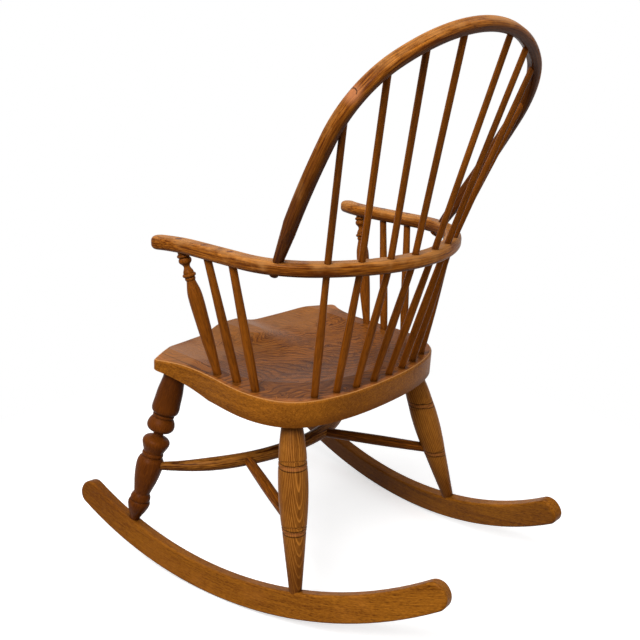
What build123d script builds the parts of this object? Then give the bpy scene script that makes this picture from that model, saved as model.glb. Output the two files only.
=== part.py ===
from build123d import *
import os
from math import asin, cos, degrees, hypot, radians, sin, sqrt, tan

# Hoop back rocking chair: a double bow Windsor armchair on rockers, built piece by piece.
# Millimetres, +Z up, the sitter faces -Y and +X is the sitter's left.  The origin lies on the
# floor, midway along the rockers and on the chair's plane of symmetry.

# ---------------------------------------------------------------- driving dimensions
fit = 0.12                     # radial play of every tenon and stick in its hole

# rockers: circular runners, toed out towards the front and canted inwards with the legs
rocker_radius = 820.0          # underside
rocker_front_reach = 393.0     # along the runner, from where it touches the floor to its tip
rocker_rear_reach = 442.0
rocker_depth = 50.5
rocker_width = 25.0
rocker_half_track = 276.3      # middle of the underside, at y = 0
rocker_toe = 8.9               # degrees
rocker_cant = 9.0              # degrees from upright
rocker_contact_y = -26.5       # where the runner touches the floor
rocker_end_radius = 24.0
rocker_edge_radius = 4.5
rest_roll = 1.7                # degrees the drawn chair rolls forward until it balances

# seat: a saddled plank that falls towards the back
seat_height = 418.6            # top of the plank above the floor, at y = 0
seat_slope = 4.14              # degrees
seat_thickness = 50.0
seat_nose_y = -312.0
seat_corner = (272.0, -234.0)
seat_waist = (244.0, -150.0)
seat_flank = (246.0, -85.0)
seat_hip = (250.0, -25.0)
seat_haunch = (242.0, 35.0)
seat_shoulder = (212.0, 86.0)
seat_back = (150.0, 117.0)
seat_rear_y = 134.0
seat_corner_radius = 12.0
seat_edge_radius = 6.0
seat_front_edge = 20.0         # depth of the edge left by the bevel at the nose and the corners
seat_front_bevel = 75.0        # how far the bevel runs in under the nose
seat_side_bevel_y = -95.0      # where the corner bevel runs out along the side
seat_corner_bevel_x = 150.0    # where it runs out along the front
saddle_depth = 17.0
saddle_half_width = 208.0
saddle_rear_y = 78.0
saddle_middle_y = -105.0
saddle_front_share = 0.95      # depth of the hollows where they run out over the front edge
pommel_half_width = 42.0
pommel_start_y = -95.0
pommel_full_y = -235.0

# legs
leg_tenon_diameter = 26.0
leg_tenon_length = 38.0        # above the plank's flat underside
foot_tenon_diameter = 15.0
foot_tenon_length = 24.0
front_foot = -252.0            # along the runner, from where it touches the floor
rear_foot = 149.0
front_leg_top = (228.3, -221.9)
rear_leg_top = (183.0, 57.3)

# stretchers
crinoline_height = 205.4       # where it enters the front legs
crinoline_rear = (-83.9, 217.4)    # y and height of its middle
crinoline_end_diameter = 16.5
crinoline_middle_diameter = 28.0
crinoline_taper = 0.22         # share of its length that each end tapers over
crinoline_tenon_diameter = 13.0
crinoline_tenon_length = 16.0
spur_front_x = {1: 137.0, -1: 62.0}    # where each spur meets the crinoline: they aren't a pair
spur_rear_height = 177.0       # on the rear leg
spur_diameter = 22.5
spur_end_diameter = 19.5
spur_tenon_diameter = 12.0
spur_tenon_length = 12.0

# arm bow: straight arms that flare at the hands, a corner arc each side and a flatter back arc
arm_height = 676.5             # top of the bow above the floor, at y = 0
arm_slope = 2.35               # degrees
arm_width = 34.0
arm_thickness = 24.6
arm_edge_radius = 9.0
arm_half_width = 254.4         # centre line of the straight arm
arm_corner_radius = 160.0
arm_corner_angle = 48.0        # degrees turned by each corner arc
arm_corner_y = 11.5            # where the straight arm ends
arm_flare_y = -120.0           # where the flare starts
arm_flare_radius = 183.0
arm_tip_y = -192.0

# back hoop: top arc, shoulder arcs and legs, in one plane that leans back
hoop_lean = 32.6               # degrees from upright
hoop_foot = (243.0, 82.6)      # where its centre line meets the top of the arm
hoop_rise = 445.7              # along the lean, from the arm to the top of the centre line
hoop_top_radius = 351.0
hoop_top_angle = 35.25         # degrees, each side
hoop_shoulder_radius = 158.6
hoop_face = 21.5               # section in the hoop's plane
hoop_section_depth = 25.5      # section across the plane
hoop_edge_radius = 8.5
hoop_tenon_diameter = 16.6
hoop_tenon_shoulder = 0.9      # what the whittled end is larger by, each side, above the arm
hoop_taper_length = 105.0
hoop_tenon_below_arm = 4.5

# back sticks: from the seat, through the arm bow, into the hoop
stick_pitch = 47.0             # at the seat
stick_row_y = 117.6            # centre of the row at the seat
stick_row_radius = 556.0
stick_arm_x = (28.5, 84.0, 137.0, 187.0)
stick_hoop_x = (69.0, 148.0, 213.5, 263.0)
stick_seat_diameter = 13.5
stick_swell_diameter = 15.4
stick_arm_diameter = 12.2
stick_top_diameter = 11.4
stick_bend_radius = 380.0
stick_seat_depth = 22.0

# arm supports: one turned baluster and two plain sticks each side
support_seat = ((224.2, -99.0), (222.0, -48.3), (225.2, 3.5))
support_arm_y = (-145.0, -80.0, -15.3)
support_tenon_diameter = 12.5
support_seat_depth = 22.0
wedge_thickness = 2.4
wedge_tip_thickness = 0.8
wedge_length = 14.0

# turning patterns: the length they are drawn over, the first (distance, radius) point and the
# strokes that follow it; a stroke of one point is a line, of two an arc, of more a spline
front_leg_pattern = (
    306.0,
    (0, 9.6),
    (
        [(9, 12.6), (18, 17.0), (28, 20.8), (37, 22.2), (41.5, 20.4)],
        [(42.6, 18.8), (43.8, 20.2)],
        [(50, 20.0), (56, 17.6)],
        [(58.5, 16.2)],
        [(72, 19.4), (90, 23.6), (108, 26.3), (124, 27.1), (134, 24.9), (139, 21.2)],
        [(140.2, 19.8), (141.4, 20.8)],
        [(145, 21.6), (148.4, 20.7)],
        [(149.5, 19.6), (150.6, 20.4)],
        [(158, 23.4), (166, 26.6), (174, 27.2), (179.5, 23.2), (183.5, 14.6), (187.5, 10.2)],
        [(191.5, 10.2)],
        [(194.5, 15.6), (199, 24.2), (206, 27.6), (213, 27.0), (220, 24.2), (224.5, 21.0)],
        [(225.7, 19.8), (226.9, 20.8)],
        [(229.6, 21.6), (232.3, 20.8)],
        [(233.4, 19.8), (234.5, 21.2)],
        [(237, 25.2), (242, 27.2), (256, 27.0), (280, 25.6), (296, 23.4), (306, 22.0)],
    ),
)
rear_leg_pattern = (
    312.0,
    (0, 11.9),
    (
        [(28, 14.6), (66, 18.4), (106.3, 22.1)],
        [(107.6, 20.9), (108.9, 22.5)],
        [(116.1, 23.3)],
        [(117.4, 22.1), (118.7, 23.7)],
        [(140, 25.7), (163, 27.3), (187, 28.0), (209, 27.8), (225.2, 26.9)],
        [(226.5, 25.6), (227.8, 26.8)],
        [(234.8, 26.5)],
        [(236.1, 25.2), (237.4, 26.3)],
        [(262, 24.8), (286, 21.8), (312, 17.6)],
    ),
)
support_pattern = (
    239.0,
    (0, 7.4),
    (
        [(47, 10.3), (87, 12.4), (117, 13.3), (147, 13.8), (167, 12.3), (178, 9.8), (185, 8.3)],
        [(188.6, 9.9), (192.2, 9.0)],
        [(196, 12.6), (199, 9.8)],
        [(203, 9.4), (207.5, 7.2), (212, 6.0), (216, 7.8), (220, 11.2), (223.5, 12.1), (227, 11.2), (229.4, 9.4)],
        [(232.8, 12.6), (236, 9.7)],
        [(239, 9.6)],
    ),
)
arm_stick_pattern = (240.0, (0, 7.7), ([(42, 8.4), (84, 8.7), (150, 8.1), (240, 7.2)],))

SIDES = {"left": 1, "right": -1}


# ---------------------------------------------------------------- planes and points
def tilted_plane(height, slope):
    """Plane at a height over the origin that falls towards the back by slope degrees."""
    angle = radians(slope)
    return Plane(origin=(0, 0, height), x_dir=(1, 0, 0), z_dir=(0, sin(angle), cos(angle)))


seat_plane = tilted_plane(seat_height, seat_slope)
arm_plane = tilted_plane(arm_height, arm_slope)


def on_plane(plane, x, y, z=0.0):
    return plane.from_local_coords(Vector(x, y, z))


hoop_plane = Plane(
    origin=on_plane(arm_plane, 0, hoop_foot[1]),
    x_dir=(1, 0, 0),
    z_dir=(0, -cos(radians(hoop_lean)), sin(radians(hoop_lean))),
)


def rocker_plane(side):
    """Canted plane of one runner, from where it touches the floor: x back along it, y up to the seat."""
    toe, cant = radians(rocker_toe), radians(rocker_cant)
    along = Vector(-side * sin(toe), cos(toe), 0)
    inward = Vector(-side * cos(toe), -sin(toe), 0)
    upward = inward * sin(cant) + Vector(0, 0, cos(cant))
    contact = (side * (rocker_half_track - rocker_contact_y * tan(toe)), rocker_contact_y, 0)
    return Plane(origin=contact, x_dir=along, z_dir=along.cross(upward))


def rocker_top(side, along):
    """Point on the middle of a runner's top edge."""
    height = rocker_radius - sqrt((rocker_radius - rocker_depth) ** 2 - along**2)
    return on_plane(rocker_plane(side), along, height)


# ---------------------------------------------------------------- general makers
def turned(pattern, length, below=0.0, above=0.0):
    """Turned piece about Z, its pattern fitted to a length, with plain ends that run on."""
    drawn_length, first, strokes = pattern
    scale = length / drawn_length
    start = here = (first[1], first[0])
    edges = []
    for stroke in strokes:
        points = [here] + [(radius, distance * scale) for distance, radius in stroke]
        if len(points) == 2:
            edges.append(Line(*points))
        elif len(points) == 3:
            edges.append(ThreePointArc(*points))
        else:
            edges.append(Spline(points))
        here = points[-1]
    ends = [here, (here[0], length + above), (0, length + above), (0, -below), (start[0], -below), start]
    ends = [point for number, point in enumerate(ends) if not number or point != ends[number - 1]]
    return revolve(Plane.XZ * make_face(edges + [Polyline(ends)]), Axis.Z)


def between(start, end):
    """Plane at start whose normal points at end."""
    direction = (end - start).normalized()
    return Plane(origin=start, x_dir=direction.cross(Vector(0, 1, 0.1)), z_dir=direction)


def dowel(start, end, radius):
    """Round pin from start to end."""
    length = (end - start).length
    return between(start, end) * Cylinder(radius, length, align=(Align.CENTER, Align.CENTER, Align.MIN))


def rod(path, stations):
    """Round rod along a path: (share of the path, diameter)."""
    flat = path.common_plane().z_dir
    rings = []
    for share, diameter in stations:
        plane = Plane(origin=path @ share, x_dir=flat, z_dir=path % share)
        rings.append(plane * Circle(diameter / 2))
    return loft(rings)


def whole(shape):
    """The single solid of a shape."""
    solids = shape.solids()
    assert len(solids) == 1, f"{len(solids)} solids"
    return solids[0]


# ---------------------------------------------------------------- seat
def seat_outline():
    """Plan of the plank: bowed front, flared corners, waisted sides and a round back."""
    half = [seat_corner, seat_waist, seat_flank, seat_hip, seat_haunch, seat_shoulder, seat_back]
    far = [(-x, y) for x, y in reversed(half)]
    front = ThreePointArc(far[-1], (0, seat_nose_y), half[0])
    plan = make_face([front, Spline(half + [(0, seat_rear_y)] + far)])
    return fillet(plan.vertices(), seat_corner_radius)


def beyond(plane):
    """Everything on the far side of a plane."""
    size = 4 * abs(seat_nose_y)
    return plane * Box(size, size, size, align=(Align.CENTER, Align.CENTER, Align.MIN))


def under_bevels():
    """Solids to take off under the front of the plank."""
    under = -seat_thickness
    edge = -seat_front_edge
    front_in = Vector(0, seat_nose_y + seat_front_bevel, under)
    front_out = Vector(0, seat_nose_y, edge)
    slope = front_in - front_out
    cuts = [beyond(Plane(origin=front_in, x_dir=(1, 0, 0), z_dir=slope.cross(Vector(1, 0, 0))))]
    for side in (1, -1):
        corner = Vector(side * seat_corner[0], seat_corner[1], edge)
        flank = Vector(side * seat_hip[0], seat_side_bevel_y, under)
        front = Vector(side * seat_corner_bevel_x, front_in.Y, under)
        normal = (front - flank).cross(corner - flank)
        if normal.Z > 0:
            normal = -normal
        cuts.append(beyond(Plane(origin=flank, x_dir=front - flank, z_dir=normal)))
    return cuts


def smooth(share):
    """0 to 1 with level ends."""
    share = min(1, max(0, share))
    return share * share * (3 - 2 * share)


def saddle_drop(x, y):
    """Depth of the hollowed top under the plank's plane; negative outside the hollow."""
    across = x / saddle_half_width
    along = max(0, (y - saddle_middle_y) / (saddle_rear_y - saddle_middle_y))
    front = smooth((saddle_middle_y - y) / (saddle_middle_y - seat_nose_y))
    depth = saddle_depth * (1 - (1 - saddle_front_share) * front)
    ridge = smooth(1 - abs(x) / (2 * pommel_half_width))
    ridge *= smooth((pommel_start_y - y) / (pommel_start_y - pommel_full_y))
    return depth * (1 - hypot(across, along) ** 3) * (1 - 1.12 * ridge)


def saddle_block():
    """Block that fills everything under the hollowed surface."""
    steps = 28
    half_width = seat_corner[0] + 20
    first_y = seat_nose_y - 25
    last_y = seat_rear_y + 15
    points = []
    for row in range(steps + 1):
        y = first_y + (last_y - first_y) * row / steps
        xs = [half_width * (2 * column / steps - 1) for column in range(steps + 1)]
        points.append([(x, y, -saddle_drop(x, y)) for x in xs])
    surface = Face.make_surface_from_array_of_points(points, tol=0.05, min_deg=3, max_deg=3)
    middle = Pos(0, (seat_nose_y + seat_rear_y) / 2, -seat_thickness / 2)
    block = middle * Box(2 * seat_corner[0] + 20, seat_rear_y - seat_nose_y + 20, seat_thickness)
    return block - extrude(surface, amount=seat_thickness * 2, dir=(0, 0, 1))


def seat_blank():
    """Plank with its bevels, eased edges and saddle, before any socket is bored."""
    plank = extrude(seat_outline(), amount=-seat_thickness)
    plank = plank - under_bevels()
    top = plank.faces().sort_by(Axis.Z)[-1]
    plank = fillet(top.edges(), seat_edge_radius)
    return seat_plane * (plank & saddle_block())


# ---------------------------------------------------------------- rockers
def rocker_blank(side):
    """Runner cut from a board to two concentric arcs, its ends rounded over."""
    inner_radius = rocker_radius - rocker_depth
    middle_radius = rocker_radius - rocker_depth / 2
    corners = []
    for reach in (-rocker_front_reach, rocker_rear_reach):
        angle = asin(reach / middle_radius)
        for radius in (rocker_radius, inner_radius):
            corners.append((radius * sin(angle), rocker_radius - radius * cos(angle)))
    front_low, front_high, rear_low, rear_high = corners
    profile = make_face([
        ThreePointArc(front_low, (0, 0), rear_low),
        Line(rear_low, rear_high),
        ThreePointArc(rear_high, (0, rocker_depth), front_high),
        Line(front_high, front_low),
    ])
    profile = fillet(profile.vertices(), rocker_end_radius)
    board = extrude(rocker_plane(side) * profile, amount=rocker_width / 2, both=True)
    edges = board.edges().filter_by(lambda e: abs(e.tangent_at(0.5).dot(rocker_plane(side).z_dir)) < 0.5)
    return fillet(edges, rocker_edge_radius)


# ---------------------------------------------------------------- legs
def leg_ends(side, place):
    """Where a leg's centre line leaves the runner and where it meets the underside of the seat."""
    foot, top = {"front": (front_foot, front_leg_top), "rear": (rear_foot, rear_leg_top)}[place]
    return rocker_top(side, foot), on_plane(seat_plane, side * top[0], top[1], -seat_thickness)


def leg_blank(side, place):
    foot, top = leg_ends(side, place)
    pattern = {"front": front_leg_pattern, "rear": rear_leg_pattern}[place]
    into_seat = seat_thickness - seat_front_edge
    return between(foot, top) * turned(pattern, (top - foot).length, foot_tenon_diameter / 2, into_seat)


def leg_pins(side, place, play=0.0):
    """The two tenons of a leg, or with play the sockets that take them."""
    foot, top = leg_ends(side, place)
    along = (top - foot).normalized()
    lower = dowel(foot - along * foot_tenon_length, foot + along * 10, foot_tenon_diameter / 2 + play)
    upper = dowel(top - along * 10, top + along * leg_tenon_length, leg_tenon_diameter / 2 + play)
    return lower, upper


def on_leg(side, place, height):
    """Point of a leg's centre line at a height above the floor."""
    foot, top = leg_ends(side, place)
    return foot + (top - foot) * ((height - foot.Z) / (top.Z - foot.Z))


# ---------------------------------------------------------------- stretchers
def crinoline_path():
    left, right = (on_leg(side, "front", crinoline_height) for side in (1, -1))
    return ThreePointArc(left, (0, *crinoline_rear), right)


def crinoline_blank():
    """Bent stretcher between the front legs, thickest in the middle."""
    path = crinoline_path()
    rise = crinoline_middle_diameter - crinoline_end_diameter
    stations = []
    for share in (0, 0.05, 0.11, 0.17, 0.22, 0.36, 0.5, 0.64, 0.78, 0.83, 0.89, 0.95, 1):
        from_end = min(share, 1 - share)
        stations.append((share, crinoline_end_diameter + rise * smooth(from_end / crinoline_taper)))
    return rod(path, stations)


def crinoline_pin(side, play=0.0):
    path = crinoline_path()
    if side < 0:
        path = path.reversed()
    radius = leg_radius("front", crinoline_height)
    outside = radius + 8
    inside = radius - crinoline_tenon_length
    length = path.length
    return dowel(path @ (inside / length), path @ (outside / length), crinoline_tenon_diameter / 2 + play)


def leg_radius(place, height):
    """Radius of a leg about where a stretcher enters it."""
    pattern = {"front": front_leg_pattern, "rear": rear_leg_pattern}[place]
    foot, top = leg_ends(1, place)
    share = (height - foot.Z) / (top.Z - foot.Z)
    points = [pattern[1]] + [point for stroke in pattern[2] for point in stroke]
    return min(points, key=lambda point: abs(point[0] / pattern[0] - share))[1]


def spur_ends(side):
    """On the crinoline's centre line and on the rear leg's."""
    front = crinoline_path().intersect(Plane(origin=(side * spur_front_x[side], 0, 0), z_dir=(1, 0, 0)))
    return Vector(*front.center()), on_leg(side, "rear", spur_rear_height)


def spur_blank(side):
    front, rear = spur_ends(side)
    length = (rear - front).length
    end, swell = spur_end_diameter / 2, spur_diameter / 2
    waist = (end + swell) / 2
    strokes = ([(0.2, waist), (0.5, swell), (0.8, waist), (1, end)],)
    return between(front, rear) * turned((1.0, (0, end), strokes), length)


def spur_pins(side, play=0.0):
    front, rear = spur_ends(side)
    along = (rear - front).normalized()
    near = crinoline_middle_diameter / 2
    far = leg_radius("rear", spur_rear_height)
    radius = spur_tenon_diameter / 2 + play
    return (
        dowel(front + along * (near - spur_tenon_length), front + along * (near + 6), radius),
        dowel(rear - along * (far + 6), rear - along * (far - spur_tenon_length), radius),
    )


# ---------------------------------------------------------------- arm bow
def arm_path():
    """Centre line of the bow, from one hand to the other, on the plane of its top."""
    half = []
    flare_angle = degrees(asin((arm_flare_y - arm_tip_y) / arm_flare_radius))
    start = (arm_half_width, arm_flare_y)
    half.append(JernArc(start, (0, -1), arm_flare_radius, flare_angle))
    half.append(Line(start, (arm_half_width, arm_corner_y)))
    corner = JernArc(half[1] @ 1, (0, 1), arm_corner_radius, arm_corner_angle)
    half.append(corner)
    turn = radians(arm_corner_angle)
    back_radius = (corner @ 1).X / cos(turn)
    half.append(JernArc(corner @ 1, corner % 1, back_radius, 90 - arm_corner_angle))
    return Wire(half + [edge.mirror(Plane.YZ) for edge in half])


def arm_centre(x):
    """Point of the back of the bow's centre line at a distance from the middle."""
    turn = radians(arm_corner_angle)
    corner_x = arm_half_width - arm_corner_radius
    join_x = corner_x + arm_corner_radius * cos(turn)
    join_y = arm_corner_y + arm_corner_radius * sin(turn)
    back_radius = join_x / cos(turn)
    if abs(x) <= join_x:
        return join_y - join_x * tan(turn) + sqrt(back_radius**2 - x**2)
    return arm_corner_y + sqrt(arm_corner_radius**2 - (abs(x) - corner_x) ** 2)


def arm_flare_x(y):
    """Half distance between the arms' centre lines at a place along them."""
    if y >= arm_flare_y:
        return arm_half_width
    return arm_half_width + arm_flare_radius - sqrt(arm_flare_radius**2 - (arm_flare_y - y) ** 2)


def arm_blank():
    outline = make_face(arm_path().offset_2d(arm_width / 2, kind=Kind.ARC, side=Side.BOTH, closed=True))
    bow = extrude(outline, amount=-arm_thickness)
    edges = bow.edges().filter_by(lambda e: abs((e % 0.5).Z) < 0.5)
    return arm_plane * fillet(edges, arm_edge_radius)


# ---------------------------------------------------------------- back hoop
def hoop_half_path():
    """Right-hand half of the centre line in the hoop's plane, from the top down to the foot."""
    top = JernArc((0, hoop_rise), (1, 0), hoop_top_radius, -hoop_top_angle)
    shoulder = JernArc(top @ 1, top % 1, hoop_shoulder_radius, hoop_top_angle - 90)
    drop = (shoulder @ 1).Y
    splay = (shoulder @ 1).X - hoop_foot[0]
    leg_radius_ = (drop**2 + splay**2) / (2 * splay)
    leg = JernArc(shoulder @ 1, (0, -1), leg_radius_, -degrees(asin(drop / leg_radius_)))
    return [top, shoulder, leg]


def hoop_centre(x):
    """Point of the hoop's centre line at a distance from the middle, between its shoulders."""
    top, shoulder, _ = hoop_half_path()
    join = top @ 1
    if abs(x) <= join.X:
        y = hoop_rise - hoop_top_radius + sqrt(hoop_top_radius**2 - x**2)
    else:
        centre_x = (shoulder @ 1).X - hoop_shoulder_radius
        y = (shoulder @ 1).Y + sqrt(hoop_shoulder_radius**2 - (abs(x) - centre_x) ** 2)
    return on_plane(hoop_plane, x, y)


def hoop_pin(side, play=0.0):
    """Round tenon at a foot of the hoop, right through the arm."""
    leg = hoop_half_path()[2]
    foot = Vector(side * (leg @ 1).X, (leg @ 1).Y)
    direction = leg % 1
    down = Vector(side * direction.X, direction.Y)
    through = arm_thickness / cos(radians(hoop_lean - arm_slope)) + hoop_tenon_below_arm
    start, end = foot - down * hoop_edge_radius, foot + down * through
    start, end = on_plane(hoop_plane, start.X, start.Y), on_plane(hoop_plane, end.X, end.Y)
    return dowel(start, end, hoop_tenon_diameter / 2 + play)


def hoop_blank():
    """Steam bent hoop, its two ends whittled down to the size of their tenons."""
    half = hoop_half_path()
    centre = Wire(half + [edge.mirror(Plane.YZ) for edge in half])
    outline = make_face(centre.offset_2d(hoop_face / 2, kind=Kind.ARC, side=Side.BOTH, closed=True))
    bow = extrude(outline, amount=hoop_section_depth / 2, both=True)
    bow = fillet(bow.edges().filter_by(lambda e: abs((e % 0.5).Z) < 0.5), hoop_edge_radius)
    corner = hypot(hoop_face / 2 - hoop_edge_radius, hoop_section_depth / 2 - hoop_edge_radius)
    slim, full = hoop_tenon_diameter / 2 + hoop_tenon_shoulder, corner + hoop_edge_radius + 1.5
    room = 2 * hoop_section_depth
    for side in (1, -1):
        leg = half[2] if side > 0 else half[2].mirror(Plane.YZ)
        lower = leg.trim(1 - hoop_taper_length / leg.length, 1)
        length = (lower @ 0 - lower @ 1).length
        cone = Cone(slim, slim + (full - slim) * 1.2, length * 1.2, align=(Align.CENTER, Align.CENTER, Align.MIN))
        below = Plane(origin=lower @ 0, x_dir=(0, 0, 1), z_dir=lower % 0)
        shavings = below * Box(room, room, 2 * hoop_taper_length, align=(Align.CENTER, Align.CENTER, Align.MIN))
        bow = bow - (shavings - between(lower @ 1, lower @ 0) * cone)
    return hoop_plane * bow


# ---------------------------------------------------------------- sticks and supports
def stick_points(side, number):
    """Where a back stick leaves the seat, crosses the arm bow and ends in the hoop."""
    x = stick_pitch * (number + 0.5)
    y = stick_row_y - stick_row_radius + sqrt(stick_row_radius**2 - x**2)
    arm_x = stick_arm_x[number]
    return (
        on_plane(seat_plane, side * x, y),
        on_plane(arm_plane, side * arm_x, arm_centre(arm_x), -arm_thickness / 2),
        hoop_centre(side * stick_hoop_x[number]),
    )


def back_stick(side, number, play=0.0):
    """Shaved stick, swelled below the arm and sprung where the arm bow holds it."""
    seat_point, arm_point, hoop_point = stick_points(side, number)
    lower, upper = (arm_point - seat_point).length, (hoop_point - arm_point).length
    start = seat_point - (arm_point - seat_point).normalized() * stick_seat_depth
    path = FilletPolyline(start, arm_point, hoop_point, radius=stick_bend_radius)
    below, bend, above = path.edges().sort_by(lambda e: (e @ 0.5).Z)
    straight = below.length - stick_seat_depth
    end = stick_arm_diameter / 2 + play
    pattern = (
        1.0,
        (0, stick_seat_diameter / 2 + play),
        ([(0.2, (stick_seat_diameter + stick_swell_diameter) / 4 + play), (0.45, stick_swell_diameter / 2 + play),
          (0.75, (stick_swell_diameter + stick_arm_diameter) / 4 + play), (1, end)],),
    )
    lower = between(seat_point, arm_point) * turned(pattern, straight, stick_seat_depth)
    knee = sweep(Plane(origin=bend @ 0, z_dir=bend % 0) * Circle(end), path=bend)
    taper = Cone(end, stick_top_diameter / 2 + play, above.length, align=(Align.CENTER, Align.CENTER, Align.MIN))
    return lower + knee + between(above @ 0, above @ 1) * taper


def support_ends(side, place):
    """On top of the seat and under the arm; places run from front to rear."""
    x, y = support_seat[place]
    arm_y = support_arm_y[place]
    return (
        on_plane(seat_plane, side * x, y),
        on_plane(arm_plane, side * arm_flare_x(arm_y), arm_y, -arm_thickness),
    )


def support_blank(side, place):
    foot, top = support_ends(side, place)
    pattern = arm_stick_pattern if place else support_pattern
    spare = support_tenon_diameter / 2
    return between(foot, top) * turned(pattern, (top - foot).length, spare, spare)


def support_pins(side, place, play=0.0):
    """The tenon in the seat and the one through the arm, flush with the arm's top."""
    foot, top = support_ends(side, place)
    along = (top - foot).normalized()
    radius = support_tenon_diameter / 2 + play
    lower = dowel(foot - along * support_seat_depth, foot + along * support_tenon_diameter, radius)
    upper = dowel(top - along * 4, top + along * arm_thickness * 1.5, radius)
    return lower, upper - beyond(arm_plane)


def wedge_blank(side, place):
    """Wedge across the grain of the arm, in the end of the tenon below it."""
    foot, top = support_ends(side, place)
    along = (top - foot).normalized()
    reach = arm_thickness / along.dot(arm_plane.z_dir)
    end = top + along * reach
    local = Plane(origin=end, x_dir=along.cross(Vector(1, 0, 0)), z_dir=(1, 0, 0))
    half, tip = wedge_thickness / 2, wedge_tip_thickness / 2
    face = Polyline((-half, 2), (half, 2), (tip, -wedge_length), (-tip, -wedge_length), close=True)
    board = extrude(local * make_face(face), amount=support_tenon_diameter, both=True)
    return board & support_pins(side, place)[1]


# ---------------------------------------------------------------- the chair
def chair():
    """Every piece by its name, each trimmed by what it meets and bored for what enters it."""
    pieces = {}
    seat = seat_blank()
    arm = arm_blank()
    hoop = hoop_blank()
    crinoline = crinoline_blank()
    leg_sockets, stick_sockets, support_sockets, arm_holes = [], [], [], []

    rockers = {side: rocker_blank(side) for side in SIDES.values()}
    legs = {(side, place): leg_blank(side, place) for side in SIDES.values() for place in ("front", "rear")}

    for name, side in SIDES.items():
        spur = spur_blank(side) - crinoline - legs[side, "rear"]
        near_pin, far_pin = spur_pins(side)
        pieces[f"spur_stretcher_{name}"] = spur.solids().sort_by(SortBy.VOLUME)[-1] + near_pin + far_pin
        rocker = rockers[side]
        for place in ("front", "rear"):
            lower, upper = leg_pins(side, place)
            leg = (legs[side, place] - rockers[side] - seat).solids().sort_by(SortBy.VOLUME)[-1]
            leg = leg + lower + upper
            if place == "front":
                leg = leg - crinoline_pin(side, fit)
            else:
                leg = leg - spur_pins(side, fit)[1]
            pieces[f"{place}_leg_{name}"] = leg
            lower_socket, upper_socket = leg_pins(side, place, fit)
            rocker = rocker - lower_socket
            leg_sockets.append(upper_socket)
        pieces[f"rocker_{name}"] = rocker

    crinoline_body = (crinoline - legs[1, "front"] - legs[-1, "front"]).solids().sort_by(SortBy.VOLUME)[-1]
    crinoline_body = crinoline_body + crinoline_pin(1) + crinoline_pin(-1)
    pieces["crinoline_stretcher"] = crinoline_body - [spur_pins(side, fit)[0] for side in (1, -1)]

    for name, side in SIDES.items():
        for number in range(len(stick_arm_x)):
            pieces[f"back_stick_{name}_{number + 1}"] = back_stick(side, number)
            stick_sockets.append(back_stick(side, number, fit))
        for place, label in enumerate(("arm_support", "arm_stick_front", "arm_stick_rear")):
            lower, upper = support_pins(side, place)
            wedge = wedge_blank(side, place)
            body = (support_blank(side, place) - seat - arm).solids().sort_by(SortBy.VOLUME)[-1]
            pieces[f"{label}_{name}"] = body + lower + (upper - wedge)
            pieces[f"wedge_{label}_{name}"] = wedge
            lower_socket, upper_hole = support_pins(side, place, fit)
            support_sockets.append(lower_socket)
            arm_holes.append(upper_hole)

    hoop_body = (hoop - arm).solids().sort_by(SortBy.VOLUME)[-1] + hoop_pin(1) + hoop_pin(-1)
    pieces["back_hoop"] = hoop_body - stick_sockets
    pieces["arm_bow"] = arm - stick_sockets - arm_holes - [hoop_pin(side, fit) for side in (1, -1)]
    pieces["seat"] = seat - leg_sockets - support_sockets - stick_sockets
    return pieces


def rest_location(pieces):
    """Rolls the drawn chair forward until it balances, and sets its mid length over the origin."""
    centre = Pos(0, rocker_contact_y, rocker_radius)
    roll = centre * Rot(X=rest_roll) * centre.inverse()
    box = (roll * Compound([pieces["rocker_left"], pieces["rocker_right"]])).bounding_box()
    return Pos(0, -box.center().Y, -box.min.Z) * roll


os.makedirs("parts", exist_ok=True)
made = chair()
place = rest_location(made)
for node, piece in made.items():
    export_step(place * whole(piece), f"parts/{node}.step")
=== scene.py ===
import math

import bpy
from bpy.props import FloatProperty, FloatVectorProperty, PointerProperty
from mathutils import Euler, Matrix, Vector

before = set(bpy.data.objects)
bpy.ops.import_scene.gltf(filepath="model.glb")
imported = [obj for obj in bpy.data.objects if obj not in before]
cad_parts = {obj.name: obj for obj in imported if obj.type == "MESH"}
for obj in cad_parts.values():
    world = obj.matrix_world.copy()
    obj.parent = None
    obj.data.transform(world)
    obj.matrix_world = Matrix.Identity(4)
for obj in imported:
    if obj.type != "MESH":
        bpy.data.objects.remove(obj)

bl_info = {
    "name": "Hoop back rocking chair",
    "version": (1, 0, 0),
    "blender": (4, 5, 0),
    "location": "View3D > Sidebar > Rocking chair",
    "description": "Timber, varnish and studio for a double bow rocking chair",
    "category": "Material",
}


# ---------------------------------------------------------------- the chair's own measures, in metres
SIDES = {"left": 1.0, "right": -1.0}        # the sitter's, as the sign of x

RUNNER_CENTRE = (-0.0420, 0.8213)           # y and z of the middle of the runners' arcs
RUNNER_TRACK = (0.2804, -0.0177)            # x and y of where a runner meets the floor
RUNNER_TOE = math.radians(8.9)
RUNNER_CANT = math.radians(9.0)

ARM_CORNER_Y = 0.0002                       # where the straight arms turn into the back of the bow
ARM_HALF = (0.2544, 0.1962)                 # half width and depth of the bow's round back
ARM_RADIUS = 0.225                          # of a circle about as long as that back
ARM_HEIGHT = 0.6663
ARM_RUB_TILT = 0.4889                       # how the border between the rubbed, lit top of the arms and their painted shade leans outwards

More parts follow.
